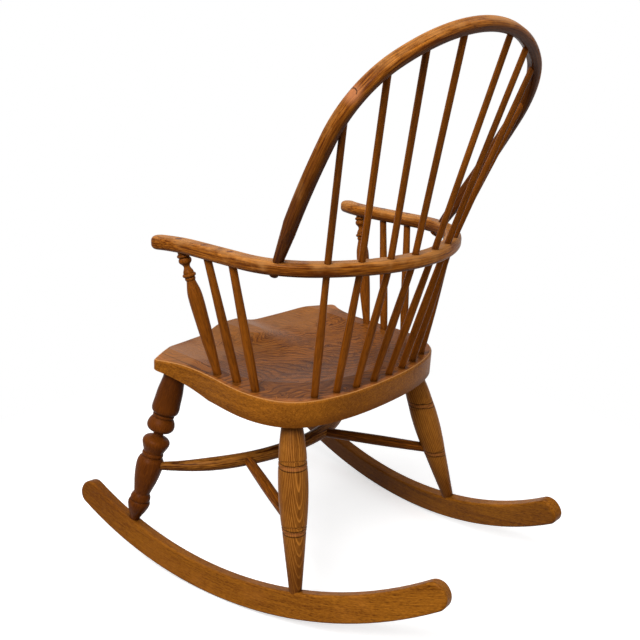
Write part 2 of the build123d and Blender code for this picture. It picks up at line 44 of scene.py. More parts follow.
HOOP_FOOT = (0.0713, 0.6777)                # y and z of the hoop's feet on the arm bow
HOOP_LEAN = math.radians(30.9)
HOOP_SHOULDER = 0.2518                      # along the lean, where the hoop starts to close
HOOP_HALF = (0.2696, 0.1939)                # half width there and the rise above it
HOOP_RADIUS = 0.232                         # of a circle about as long as that rise and fall
HOOP_NARROWING = 0.42                       # how fast the hoop narrows below its shoulder, squared
HOOP_RUB_TILT = 0.3                         # how the border between its rubbed, lit outside and its painted shade leans to the front
HOOP_SCAR = (0.2612, 0.2354, 0.9580)        # middle of an old split on the left of the hoop

CRINOLINE_CENTRE = (-0.3850, 0.1872)        # y and z of the middle of its arc
CRINOLINE_RADIUS = 0.305
CRINOLINE_CLIMB = 0.099                     # how far its plane climbs to the rear, for each unit
SPURS = {                                   # front and rear end of each spur; they aren't a pair
    "left": ((0.1370, -0.1138, 0.2141), (0.2232, 0.0980, 0.1822)),
    "right": ((0.0620, -0.0878, 0.2167), (0.2232, 0.0980, 0.1822)),
}

LEGS = {                                    # foot and top of the left legs
    "front": ((0.3051, -0.2715, 0.0860), (0.2283, -0.2274, 0.3804)),
    "rear": ((0.2473, 0.1260, 0.0703), (0.1830, 0.0515, 0.3685)),
}
LEG_GROOVES = ((0.3449, 0.3763), (0.7260, 0.7567))  # pairs, as shares of a rear leg's height

SUPPORTS = {                                # foot and top of what carries the left arm
    "arm_support": ((0.2242, -0.1026, 0.4251), (0.2561, -0.1566, 0.6557)),
    "arm_stick_front": ((0.2220, -0.0519, 0.4230), (0.2544, -0.0916, 0.6550)),
    "arm_stick_rear": ((0.2252, -0.0001, 0.4208), (0.2544, -0.0269, 0.6543)),
}
STICKS = (                                  # left back sticks at the seat, the arm bow and the hoop
    ((0.0235, 0.1134, 0.4159), (0.0285, 0.1949, 0.6640), (0.0690, 0.2967, 1.0543)),
    ((0.0705, 0.1094, 0.4161), (0.0840, 0.1843, 0.6642), (0.1480, 0.2834, 1.0321)),
    ((0.1175, 0.1013, 0.4164), (0.1370, 0.1633, 0.6644), (0.2135, 0.2628, 0.9977)),
    ((0.1645, 0.0890, 0.4170), (0.1870, 0.1312, 0.6648), (0.2630, 0.2239, 0.9328)),
)

SEAT_LEVEL = (-0.0036, 0.4209)              # y and z of a point on the plank's top plane
SEAT_SLOPE = math.radians(2.44)
SCRIBE_CENTRE_Y = -0.0400                   # the line scribed round the back of the seat
SCRIBE_HALF = (0.2350, 0.1560)              # its half width and its depth behind that centre
SCRIBE_POWER = 2.6                          # how square its corners are
SCRIBE_SPREAD = 1.2                         # how much wider than deep the strip outside it is


# ---------------------------------------------------------------- where the wood is worn or dark, in metres
SAT_ON = (0.06, 0.16)                       # y of the middle of the sitter's place, and its reach
FADED_FRONT = (-0.26, 0.12)                 # y of the middle of the seat's faded front, and its reach
FADED_END = (-0.20, -0.12)                  # y over which the fading ends
SCRIBE_REACH = 0.0016                       # half the width of the scribed line
RIM_WEAR = (-0.004, 0.012)                  # distance outside the line over which the wear starts
EDGE_SHADE = (-0.048, -0.030)               # height from the plank's top over which the painted shade on its edge fades
TOP_FACING = (0.80, 0.95)                   # how far up a face looks, where the edge turns into the top
ARRIS_FACING = (0.80, 0.16)                 # how far up the arris looks, and the reach of that

REAR_FOOT_SHADE = (0.0, 0.36)               # shares of the rear leg's height
REAR_TOP_SHADE = (0.84, 1.0)
FRONT_TOP_SHADE = (0.55, 0.95)
GROOVE_REACH = 0.0058
GROOVE_BAND_REACH = 0.016

ARM_RUB = (-0.010, -0.002)                  # height over which the rubbed, lit top of the arms starts, above their painted shade
HOOP_RUB = (-0.006, 0.003)                  # distance outwards over which its rubbed, lit outside starts, beyond its painted shade
HOOP_HELD = (0.76, 0.96)                    # heights above the floor over which hands start to rub it; lower down its painted shade is stronger too
HOOP_STAIN_TOP = (0.80, 1.02)               # and over which its dark low part ends
SCAR_REACH = (0.004, 0.022)
SPLIT_RADIUS = 0.008
SPLIT_REACH = 0.0014
SPLIT_TOP = (-0.002, 0.001)                 # height over the scar's middle at which the split starts
RUNNER_SHADE_Y = (-0.45, 0.30)              # where the painted shade on the runners fades, from front to rear
RUNNER_SHADE = {"left": 0.45, "right": 0.75}    # how dark the painted shade makes each one's front


# ---------------------------------------------------------------- the studio's measures, in metres
CAMERA_PLACE = (1.2888, 1.08118, 1.03726)
CAMERA_TURN = (72.3966, -1.2150, 131.5444)  # degrees
SENSOR_WIDTH = 36.0                         # millimetres
LAMPS = {                                   # where each lamp hangs and how wide it is
    "key": ((2.3, 0.7, 2.6), 1.4),
    "top": ((0.5, -1.1, 2.9), 1.3),
    "fill": ((-1.2, 2.8, 1.6), 2.2),
}
LAMP_AIM = (0.0, 0.0, 0.45)
FLOOR_SIZE = 14.0
FLOOR_DROP = 0.0005                         # keeps the floor clear of the runners
FLOOR_GLOW = 0.55
FLOOR_FADE = (0.55, 1.1)                    # from the middle, where the floor turns plain white
WHITE = (1.0, 1.0, 1.0)


def tone(red, green, blue):
    """A colour picked on a screen, as the linear colour that shading works with."""
    return tuple(
        part / 255 / 12.92 if part <= 10 else ((part / 255 + 0.055) / 1.055) ** 2.4
        for part in (red, green, blue)
    )


# ---------------------------------------------------------------- colours of age and wear, and of painted shade and highlights
SITTER_STAIN = tone(84, 50, 32)             # greyed wood in the middle of the seat
DRY_WOOD = tone(196, 132, 74)               # faded wood at the seat's front
ARRIS_WEAR_AND_HIGHLIGHT = tone(226, 164, 100)           # wood worn bare along the seat's edge, and a painted highlight on that arris
LEG_FOOT = tone(84, 40, 8)                  # the dark low part of a rear leg
LEG_TOP_SHADE = tone(70, 32, 8)                   # and painted shade on its top, under the seat
# painted shade on a front leg's top, under the seat
FRONT_LEG_TOP_SHADE = tone(52, 20, 3)
GROOVE_BAND = tone(186, 112, 70)            # the rubbed band between a pair of grooves
# dirt and painted shade in the rear legs' grooves
GROOVE_DIRT_AND_SHADE = tone(30, 12, 3)
PAINTED_BOW_SHADE = tone(72, 32, 6)                 # painted shade on the bows' inner and lower faces
BARE_BOW_AND_HIGHLIGHT = tone(222, 156, 88)               # the bows' wood where the varnish is gone, and a painted highlight on what faces up
HOOP_STAIN = tone(68, 22, 0)                # the dark low part of the hoop
SCAR_WOOD = tone(224, 146, 98)
SCAR_SPLIT = tone(26, 8, 2)
RUNNER_WEAR = tone(206, 128, 48)


# ---------------------------------------------------------------- how each kind of piece is figured
# timber() says what the words mean. Seeds that aren't given here differ from piece to piece.
SEAT_TOP_GRAIN = {"seed": 4.2, "ring": 0.0062, "pith": (0.03, 0.30), "slant": (0.0, 0.16), "pores": 0.8,
                  "late": 0.5, "uneven": 0.8, "fleck": 40, "mottle": 1.3}
SEAT_EDGE_GRAIN = {"seed": 7.7, "ring": 0.006, "pith": (0.02, 0.3), "slant": (0.0, 0.05), "figure": 0.06,
                   "fleck": 150}
REAR_LEG_GRAIN = {"slant": (0.0, 0.085), "figure": -0.7, "pores": 0.35, "late": 0.62, "uneven": 0.6,
                  "mottle": 0.5}
REAR_LEG_PITH = (0.016, 0.050)              # beside and behind the leg
FRONT_LEG_GRAIN = {"slant": (0.0, 0.02), "figure": 0.12, "pores": 0.35, "mottle": 0.6}
SUPPORT_GRAIN = {"pith": (0.02, 0.02), "slant": (0.0, 0.02), "figure": 0.15, "pores": 0.35, "mottle": 0.6}
STICK_GRAIN = {"pith": (0.012, 0.010), "slant": (0.004, 0.0), "figure": 0.15, "pores": 0.35, "mottle": 0.6}
ARM_GRAIN = {"seed": 3.3, "ring": 0.0045, "pith": (0.03, 0.04), "slant": (0.012, 0.0), "figure": 0.35,
             "fleck": 22, "mottle": 1.5}
HOOP_GRAIN = {"seed": 9.1, "ring": 0.0045, "pith": (0.02, 0.03), "slant": (0.010, 0.0), "figure": 0.35,
              "fleck": 22, "mottle": 1.5}
CRINOLINE_GRAIN = {"seed": 5.5, "pith": (0.02, 0.03), "slant": (0.01, 0.0), "figure": 0.4}
SPUR_GRAIN = {"pith": (0.02, 0.02), "slant": (0.01, 0.0), "figure": 0.4}
RUNNER_GRAIN = {"ring": 0.006, "pith": (0.01, 0.05), "slant": (0.0, 0.03), "figure": 0.10, "pores": 0.7,
                "uneven": 0.4, "fleck": 150}
RUNNER_GRAIN_BEND = 0.35                    # 0.5 would bend the grain as much as the runner
WEDGE_GRAIN = {"seed": 2.0, "ring": 0.002}
LEG_SEEDS = (1.0, 2.3, 1.9)                 # the first, and steps to the next leg and the next support
STICK_SEEDS = (31.0, 2.7)                   # the first, and the step to the next
SPUR_SEED = 12.0                            # midway between the two
RUNNER_SEEDS = (15.0, 3.0)                  # midway between the two, and each one's distance from it

# cells of noise in a metre across, over and along the grain
BROAD_CELLS = (9, 9, 4)
DRIFT_CELLS = (14, 14, 5)
STRAND_CELLS = (190, 190, 5)
FLECK_CELLS = (420, 420)                    # along the grain it differs from piece to piece
FIBRE_CELLS = (700, 700, 16)
PORE_CELLS = (1100, 1100, 70)
RING_SWAY = 0.012                           # how far the rings wander, in metres

FINE_BUMP = 0.0003                          # how deep the grain is, in metres
SEAT_BUMP = 0.0004
WEDGE_BUMP = 0.0002
BUMP_STRENGTH = 0.5
VARNISH_SHINE = 0.045                       # a thin, dulled varnish mirrors little


# ---------------------------------------------------------------- writing materials
class Flow:
    """A number or vector on its way through a material, so that shading is written as sums."""

    def __init__(self, nodes, socket):
        self.nodes = nodes
        self.socket = socket

    def __add__(self, other):
        return self.nodes.maths("ADD", self, other)

    def __sub__(self, other):
        return self.nodes.maths("SUBTRACT", self, other)

    def __mul__(self, other):
        return self.nodes.maths("MULTIPLY", self, other)

    def __truediv__(self, other):
        return self.nodes.maths("DIVIDE", self, other)

    def __pow__(self, other):
        return self.nodes.maths("POWER", self, other)

    def __rsub__(self, other):
        return self.nodes.maths("SUBTRACT", other, self)

    __radd__ = __add__
    __rmul__ = __mul__


class Nodes:
    """The nodes of one material or of the world."""

    def __init__(self, tree):
        self.tree = tree
        self.tree.nodes.clear()

    def node(self, kind, settings=None, sockets=None, out=0):
        """Adds a node: its settings first, then the values or links of its sockets."""
        made = self.tree.nodes.new(kind)
        for key, value in (settings or {}).items():
            setattr(made, key, value)
        for key, value in (sockets or {}).items():
            socket = made.inputs[key]
            if isinstance(value, Flow):
                self.tree.links.new(value.socket, socket)
            elif socket.type == "RGBA":
                socket.default_value = (*value, 1.0)
            else:
                socket.default_value = value
        return Flow(self, made.outputs[out]) if made.outputs else None

    def maths(self, operation, first, second=0.0, clamp=False):
        settings = {"operation": operation, "use_clamp": clamp}
        return self.node("ShaderNodeMath", settings, {0: first, 1: second})

    def bright_ray(self):
        """1 for what the camera sees, straight or in a shine or through glass."""
        path = self.node("ShaderNodeLightPath").socket.node
        rays = ("Is Camera Ray", "Is Glossy Ray", "Is Transmission Ray")
        camera, glossy, through = (Flow(self, path.outputs[name]) for name in rays)
        return self.maths("ADD", camera + glossy, through, clamp=True)


class Finish(Nodes):
    """One material, made node by node."""

    def __init__(self, name):
        self.material = bpy.data.materials.new(name)
        self.material.use_nodes = True
        super().__init__(self.material.node_tree)
        self.place = self.split(self.node("ShaderNodeTexCoord", out="Object"))
        self.x, self.y, self.z = self.place

    def split(self, vector):
        parts = self.node("ShaderNodeSeparateXYZ", sockets={0: vector})
        return tuple(Flow(self, output) for output in parts.socket.node.outputs)

    def upward(self):
        """1 on what faces up, 0 on what stands upright and -1 on what faces down."""
        return self.split(self.node("ShaderNodeNewGeometry", out="Normal"))[2]

    def length(self, *parts):
        """Length of a vector, from its two or three parts."""
        squares = [part * part for part in parts]
        return self.maths("SQRT", sum(squares[1:], squares[0]))

    def step(self, value, low, high):
        """0 below low and 1 above high, smoothly."""
        smooth = {"interpolation_type": "SMOOTHSTEP"}
        return self.node("ShaderNodeMapRange", smooth, {0: value, 1: low, 2: high, 3: 0.0, 4: 1.0})

    def near(self, value, middle, reach):
        """1 at a value, falling to 0 a reach away."""
        return 1 - self.step(self.maths("ABSOLUTE", value - middle), 0.0, reach)

    def cloud(self, place, cells, shift=(0.0, 0.0, 0.0), detail=2.0, rough=0.5):
        """Noise at a place, with so many cells in a metre each way."""
        vector = self.node("ShaderNodeCombineXYZ", sockets=dict(enumerate(place)))
        scaling = {"operation": "MULTIPLY_ADD"}
        scaled = self.node("ShaderNodeVectorMath", scaling, {0: vector, 1: cells, 2: shift})
        sockets = {"Vector": scaled, "Scale": 1.0, "Detail": detail, "Roughness": rough}
        return self.node("ShaderNodeTexNoise", sockets=sockets)

    def mix(self, first, second, share):
        """Colour between two colours."""
        settings = {"data_type": "RGBA", "clamp_factor": True}
        return self.node("ShaderNodeMix", settings, {0: share, 6: first, 7: second}, out=2)

    def varnish(self, colour, rough, height, depth):
        """Ends the material in a satin varnish over the colour."""
        relief = {"Strength": BUMP_STRENGTH, "Distance": depth, "Height": height}
        bump = self.node("ShaderNodeBump", sockets=relief)
        coat = {
            "Base Color": colour, "Roughness": rough, "Normal": bump, "Specular IOR Level": VARNISH_SHINE
        }
        surface = self.node("ShaderNodeBsdfPrincipled", sockets=coat)
        self.node("ShaderNodeOutputMaterial", sockets={"Surface": surface})
        return self.material


def shaded(colour, share):
    """A colour made darker."""
    return tuple(part * share for part in colour)


def timber(f, place, dark, light, seed=0.0, ring=0.004, pith=(0.03, 0.02), slant=(0.0, 0.0), figure=0.5,
           pores=0.5, late=0.45, uneven=0.0, fleck=60, mottle=1.0):
    """Colour, roughness and height of a piece of wood, from its place across, over and along the grain.

    ring is how far apart the growth rings are, and pith where they have their middle, which moves off by
    slant for each unit along. figure is how much darker the late wood of each ring is, or paler where it
    is below 0, and late is the share of a ring at which it starts. pores says how dark the pores are and
    uneven how unlike the rings are in width. fleck is how many flecks a metre has along the grain, and
    mottle how strongly flecks, strands and fibres show.
    """
    across, over, along = place
    broad = f.cloud(place, BROAD_CELLS, (seed, 0.0, seed * 1.7))
    drift = f.cloud(place, DRIFT_CELLS, (seed * 2.3, 0.0, 0.0))
    fibre = f.cloud(place, FIBRE_CELLS, (seed, 0.0, 0.0), rough=0.6)
    strand = f.cloud(place, STRAND_CELLS, (0.0, seed, 0.0), rough=0.55)
    pore = f.cloud(place, PORE_CELLS, (0.0, 0.0, seed), detail=1.0)
    flecks = f.cloud(place, (*FLECK_CELLS, fleck), (seed, 0.0, 0.0), rough=0.6)

    from_pith = f.length(
        across - pith[0] + along * slant[0] + (drift - 0.5) * RING_SWAY,
        over - pith[1] + along * slant[1] + (broad - 0.5) * RING_SWAY,
    )
    in_ring = f.maths("FRACT", from_pith / ring + drift * uneven)
    late_wood = f.step(in_ring, late, 0.92) * (1 - f.step(in_ring, 0.94, 1.0))
    in_pore = f.step(pore, 0.58, 0.70) * pores

    texture = (strand - 0.5) * 0.8 + (fibre - 0.5) * 0.8 + (flecks - 0.5) * 1.3
    share = (broad - 0.5) * 1.1 + texture * mottle + 0.5
    share = f.maths("ADD", share, late_wood * -figure, clamp=True)
    colour = f.mix(dark, light, share)
    colour = f.mix(colour, shaded(dark, 0.42), in_pore)
    rough = 0.36 + (fibre - 0.5) * 0.14 + in_pore * 0.15 + (broad - 0.5) * 0.2
    height = fibre * 0.35 + flecks * 0.25 - in_pore * 0.8 - late_wood * 0.2
    return colour, rough, height


def grimed_and_shaded(f, colour, grime_and_shade, reach=0.012, strength=0.75):
    """Dirt and painted shade gathered in the corners, and painted shade on what faces down."""
    clear = f.node("ShaderNodeAmbientOcclusion", {"samples": 6}, {"Distance": reach}, out="AO")
    # painted shade, together with dirt, in the corners and hollows that ambient occlusion finds
    colour = f.mix(colour, grime_and_shade, (1 - f.step(clear, 0.25, 0.9)) * strength)
    # painted shade on what faces down
    return f.mix(colour, grime_and_shade, (1 - f.step(f.upward(), -0.80, 0.10)) * 0.45)


def stem(f, knee, below, above):
    """Place across, over and along a piece that is straight, or bent once at its knee."""
    lift = f.z - knee[2]
    down = f.maths("MINIMUM", lift, 0.0)
    up = f.maths("MAXIMUM", lift, 0.0)
    across = f.x - knee[0] - down * below[0] - up * above[0]
    over = f.y - knee[1] - down * below[1] - up * above[1]
    return across, over, lift


def bend(f, sideways, beyond, before, radius):
    """Distance outside and along a piece that is bent to a half oval and has straight ends.

    sideways and beyond are shares of the oval's half width and depth, and before is how far from the
    oval a place on an end is.
    """
    turn = f.maths("ARCTAN2", beyond, sideways)
    second_end = f.step(turn, 1.5, 1.6) * 2 - 1
    return (f.length(sideways, beyond) - 1) * radius, turn * radius + before * second_end


def slope(low, high):
    """How far a line moves in x and y for each unit that it climbs."""
    rise = high[2] - low[2]
    return (high[0] - low[0]) / rise, (high[1] - low[1]) / rise


def on_side(point, side):
    """A place on the left of the chair, or its mirror image on the right."""
    return (point[0] * side, point[1], point[2])


def clothe(node, material):
    """Gives a CAD node its material."""
    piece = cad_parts[node]
    piece.data.materials.clear()
    piece.data.materials.append(material)


def finish_piece(f, node, made, grime_and_shade):
    """Dirt, painted shade and varnish over a piece of wood, as one CAD node's material."""
    colour, rough, height = made
    clothe(node, f.varnish(grimed_and_shaded(f, colour, grime_and_shade), rough, height, FINE_BUMP))


# ---------------------------------------------------------------- settings
def colour_property(label, words, default):
    return FloatVectorProperty(
        name=label, description=words, subtype="COLOR", size=3, min=0, max=1, default=default
    )


def lamp_property(label, words, default):
    return FloatProperty(name=label, description=words, default=default, min=0, subtype="POWER")


class ChairTimber(bpy.types.PropertyGroup):
    seat_light: colour_property("Seat, light", "Pale wood of the seat's top", tone(172, 100, 32))
    seat_dark: colour_property("Seat, dark", "Dark grain of the seat's top", tone(84, 42, 11))
    rim_light: colour_property("Seat rim", "Worn wood outside the scribed line", tone(196, 118, 60))
    edge_light: colour_property("Seat edge, light", "Pale wood of the seat's edge", tone(192, 118, 34))
    edge_dark: colour_property("Seat edge, dark", "Dark grain of the seat's edge", tone(108, 58, 12))
    bow_light: colour_property("Bows, light", "Pale wood of the arm bow and hoop", tone(196, 118, 38))
    bow_dark: colour_property("Bows, dark", "Dark wood of the arm bow and hoop", tone(98, 46, 6))
    stick_light: colour_property(
        "Sticks, light", "Pale wood of the sticks, arm supports and spurs", tone(176, 98, 22)
    )
    stick_dark: colour_property(
        "Sticks, dark", "Dark wood of the sticks, arm supports and spurs", tone(84, 42, 8)
    )
    leg_light: colour_property(
        "Rear legs, light", "Pale wood of the rear legs and the crinoline", tone(192, 122, 46)
    )
    leg_dark: colour_property("Rear legs, dark", "Dark wood of the rear legs", tone(90, 42, 5))
    turned_light: colour_property("Front legs, light", "Pale wood of the front legs", tone(130, 68, 16))
    turned_dark: colour_property(
        "Front legs, dark", "Dark wood of the front legs and the crinoline", tone(70, 29, 4)
    )
    runner_light: colour_property("Runners, light", "Pale wood of the runners", tone(186, 116, 32))
    runner_dark: colour_property("Runners, dark", "Dark wood of the runners", tone(108, 56, 10))
    # the colour of dirt, and of painted shade in corners, grooves and on what faces down
    grime_and_shade: colour_property("Grime", "Dirt in the corners and grooves", tone(24, 10, 3))
    ring: FloatProperty(
        name="Ring spacing", description="Distance between growth rings in legs, sticks and stretchers",
        default=0.0038, min=0.001, max=0.02, unit="LENGTH",
    )


class ChairStudio(bpy.types.PropertyGroup):
    lens: FloatProperty(
        name="Lens", description="Focal length of the camera in millimetres", default=50.53, min=10, max=300
    )
    backdrop: colour_property("Backdrop", "Colour of the floor under the chair", (0.96, 0.96, 0.96))
    bounce: colour_property("Bounce", "Colour that the floor throws back on the chair", (0.22, 0.18, 0.13))
    sky: FloatProperty(
        name="Sky", description="Strength of the even light from all round", default=0.39, min=0, max=5
    )
    key: lamp_property("Key lamp", "Power of the main lamp", 70.0)
    top: lamp_property("Top lamp", "Power of the lamp over the seat", 14.0)
    fill: lamp_property("Fill lamp", "Power of the weakest lamp", 6.0)


# ---------------------------------------------------------------- timber by piece
class CHAIR_OT_seat(bpy.types.Operator):
    """Elm plank: reddish flowing grain on top, golden edge with painted shade low down, worn arris with a
    painted highlight
    """
    bl_idname = "chair.seat"
    bl_label = "Seat"

    def execute(self, context):
        wood = context.scene.chair_timber
        f = Finish("seat_elm")
        behind = f.y - SEAT_LEVEL[0]
        back = behind / math.cos(SEAT_SLOPE)
        sink = (f.z - SEAT_LEVEL[1]) + behind * math.tan(SEAT_SLOPE)
        top = self.top_wood(f, wood, back, sink)
        edge = timber(f, (f.x, f.z, f.y), wood.edge_dark, wood.edge_light, **SEAT_EDGE_GRAIN)
        # painted shade: the seat's edge darker towards its bottom
        painted_edge_shade = (1 - f.step(sink, *EDGE_SHADE)) * 0.6
        edge_colour = f.mix(edge[0], wood.edge_dark, painted_edge_shade)

        upward = f.upward()
        worn_top = self.worn(f, wood, top[0])
        colour = f.mix(edge_colour, worn_top, f.step(upward, *TOP_FACING))
        # the arris paler from wear and from a painted highlight
        colour = f.mix(colour, ARRIS_WEAR_AND_HIGHLIGHT, f.near(upward, *ARRIS_FACING) * 0.6)
        colour = grimed_and_shaded(f, colour, wood.grime_and_shade, 0.010, 0.7)
        clothe("seat", f.varnish(colour, top[1], top[2], SEAT_BUMP))
        return {"FINISHED"}

    def top_wood(self, f, wood, back, sink):
        """Grain that runs from side to side in wide curves and small curls."""
        flat = (f.x, back, f.z)
        sweep = f.cloud(flat, (3.2, 7.0, 0.0), (3.1, 0.0, 0.0))
        curl = f.cloud(flat, (12, 20, 0.0), (1.3, 0.0, 0.0))
        across = back + f.x * 0.75 + (sweep - 0.5) * 0.24 + (curl - 0.5) * 0.06
        return timber(f, (across, sink * 2.0, f.x), wood.seat_dark, wood.seat_light, **SEAT_TOP_GRAIN)

    def worn(self, f, wood, colour):
        """The top greyed where the sitter sits, faded at the front and worn outside the scribed line."""
        blots = f.cloud(f.place, (9, 13, 0.0), detail=4.0, rough=0.6)
        sat_on = f.step(blots + f.near(f.y, *SAT_ON) * 0.14, 0.52, 0.72)
        colour = f.mix(colour, SITTER_STAIN, sat_on * 0.5)
        faded = f.step(blots + f.near(f.y, *FADED_FRONT) * 0.2, 0.48, 0.66) * (1 - f.step(f.y, *FADED_END))
        colour = f.mix(colour, DRY_WOOD, faded * 0.32)
        outside = self.outside_scribe(f)
        rubbed = f.cloud(f.place, (26, 26, 0.0), (0.0, 0.0, 2.0), detail=3.0, rough=0.6)
        rim = f.step(outside, *RIM_WEAR) * f.step(rubbed, 0.36, 0.62)
        colour = f.mix(colour, wood.rim_light, rim * 0.55)
        return f.mix(colour, wood.grime_and_shade, f.near(outside, 0.0, SCRIBE_REACH) * 0.55)

    def outside_scribe(self, f):
        """Distance outside the line that is scribed round the back of the seat, in metres."""
        sideways = f.maths("ABSOLUTE", f.x) / SCRIBE_HALF[0]
        back = f.maths("MAXIMUM", f.y - SCRIBE_CENTRE_Y, 0.0) / SCRIBE_HALF[1]
        reach = (sideways ** SCRIBE_POWER + back ** SCRIBE_POWER) ** (1 / SCRIBE_POWER)
        return (reach - 1) * SCRIBE_HALF[1] * SCRIBE_SPREAD


class CHAIR_OT_legs(bpy.types.Operator):
    """Turned legs and arm supports, the rear ones with bold rings in the wood"""
    bl_idname = "chair.legs"
    bl_label = "Legs and arm supports"

    def execute(self, context):
        wood = context.scene.chair_timber
        seed, leg_step, support_step = LEG_SEEDS
        for name, side in SIDES.items():
            for end, (foot, top) in LEGS.items():
                self.leg(wood, end, name, on_side(foot, side), on_side(top, side), seed)
                seed += leg_step
            for label, (foot, top) in SUPPORTS.items():
                self.support(wood, f"{label}_{name}", on_side(foot, side), on_side(top, side), seed)
                seed += support_step
        return {"FINISHED"}

    def leg(self, wood, end, name, foot, top, seed):
        """One leg: figured at the rear, plain and dark at the front."""
        f = Finish(f"{end}_leg_{name}")
        place = stem(f, foot, (0, 0), slope(foot, top))
        up = place[2] / (top[2] - foot[2])
        if end == "rear":
            pith = (REAR_LEG_PITH[0] * SIDES[name], REAR_LEG_PITH[1])
            made = timber(f, place, wood.leg_dark, wood.leg_light, seed, wood.ring, pith, **REAR_LEG_GRAIN)
            colour = self.grooved(f, made[0], up)
        else:
            made = timber(f, place, wood.turned_dark, wood.turned_light, seed, wood.ring, **FRONT_LEG_GRAIN)
            # painted shade on the leg's top, under the seat
            colour = f.mix(made[0], FRONT_LEG_TOP_SHADE, f.step(up, *FRONT_TOP_SHADE) * 0.45)
        finish_piece(f, f"{end}_leg_{name}", (colour, *made[1:]), wood.grime_and_shade)

    def grooved(self, f, colour, up):
        """A rear leg's dark foot, painted shade on its top, and its paired grooves, dark with dirt and
        painted shade, with a rubbed band between them.
        """
        colour = f.mix(colour, LEG_FOOT, (1 - f.step(up, *REAR_FOOT_SHADE)) * 0.66)
        # painted shade on the leg's top, under the seat
        colour = f.mix(colour, LEG_TOP_SHADE, f.step(up, *REAR_TOP_SHADE) * 0.66)
        for low, high in LEG_GROOVES:
            colour = f.mix(colour, GROOVE_BAND, f.near(up, (low + high) / 2, GROOVE_BAND_REACH) * 0.36)
            for groove in (low, high):
                # the grooves dark with dirt and painted shade
                colour = f.mix(colour, GROOVE_DIRT_AND_SHADE, f.near(up, groove, GROOVE_REACH) * 0.9)
        return colour

    def support(self, wood, node, foot, top, seed):
        """One arm support or plain arm stick."""
        f = Finish(node)
        place = stem(f, foot, slope(foot, top), slope(foot, top))
        made = timber(f, place, wood.stick_dark, wood.stick_light, seed, wood.ring, **SUPPORT_GRAIN)
        finish_piece(f, node, made, wood.grime_and_shade)


class CHAIR_OT_sticks(bpy.types.Operator):
    """Shaved back sticks, each from its own billet"""
    bl_idname = "chair.sticks"
    bl_label = "Back sticks"

    def execute(self, context):
        wood = context.scene.chair_timber
        seed, seed_step = STICK_SEEDS
        for name, side in SIDES.items():
            for number, points in enumerate(STICKS, 1):
                node = f"back_stick_{name}_{number}"
                f = Finish(node)
                base, knee, top = (on_side(point, side) for point in points)
                place = stem(f, knee, slope(base, knee), slope(knee, top))
                made = timber(f, place, wood.stick_dark, wood.stick_light, seed, wood.ring, **STICK_GRAIN)
                finish_piece(f, node, made, wood.grime_and_shade)
                seed += seed_step
        return {"FINISHED"}


